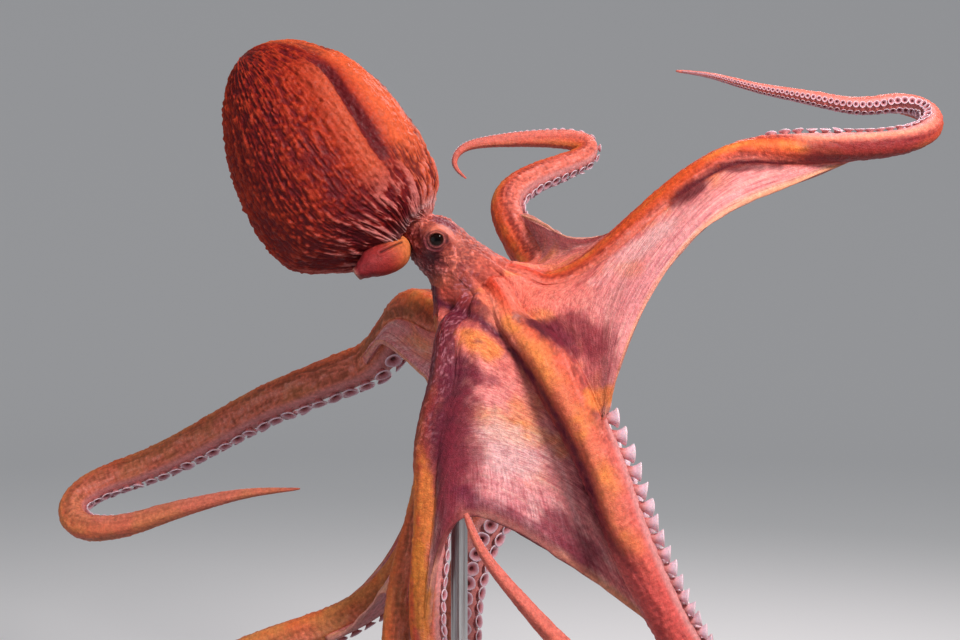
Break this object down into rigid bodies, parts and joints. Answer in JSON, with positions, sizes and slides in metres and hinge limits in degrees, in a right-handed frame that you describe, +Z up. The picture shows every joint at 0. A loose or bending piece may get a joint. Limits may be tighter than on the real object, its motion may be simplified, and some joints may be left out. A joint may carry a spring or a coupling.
{
  "type": "octopus model",
  "caption": "Life-size giant octopus, swimming with arms and webs spread, held up by a plain display stand with a flat base and a rod.",
  "frame": {"origin": "centre of the display base's underside", "axes": "+Z up; the animal's right side faces -Y; the mouth looks towards +X and down, the mantle's tip lies towards -X and up"},
  "size_m": [1.1507, 0.548, 1.11],
  "materials": {
    "skin": "wet, leathery red-orange skin with pink webs",
    "eye": "dark wet eyeball",
    "stand_base": "satin dark grey powder coat",
    "stand_rod": "brushed"
  },
  "bodies": {
    "root": {"arm_l1_base": "skin", "arm_l1_mid": "skin", "arm_l1_tip": "skin", "arm_l2_base": "skin", "arm_l2_mid": "skin", "arm_l2_tip": "skin", "arm_l3_base": "skin", "arm_l3_mid": "skin", "arm_l3_tip": "skin", "arm_l4_base": "skin", "arm_l4_mid": "skin", "arm_l4_tip": "skin", "arm_r1_base": "skin", "arm_r1_mid": "skin", "arm_r1_tip": "skin", "arm_r2_base": "skin", "arm_r2_mid": "skin", "arm_r2_tip": "skin", "arm_r3_base": "skin", "arm_r3_mid": "skin", "arm_r3_tip": "skin", "arm_r4_base": "skin", "arm_r4_mid": "skin", "arm_r4_tip": "skin", "eye_left": "eye", "eye_right": "eye", "head": "skin", "mantle": "skin", "siphon": "skin", "stand_base": "stand_base", "stand_rod": "stand_rod", "web_l1_r1": "skin", "web_l2_l1": "skin", "web_l3_l2": "skin", "web_l4_l3": "skin", "web_r1_r2": "skin", "web_r2_r3": "skin", "web_r3_r4": "skin", "web_r4_l4": "skin"}
  },
  "joints": []
}
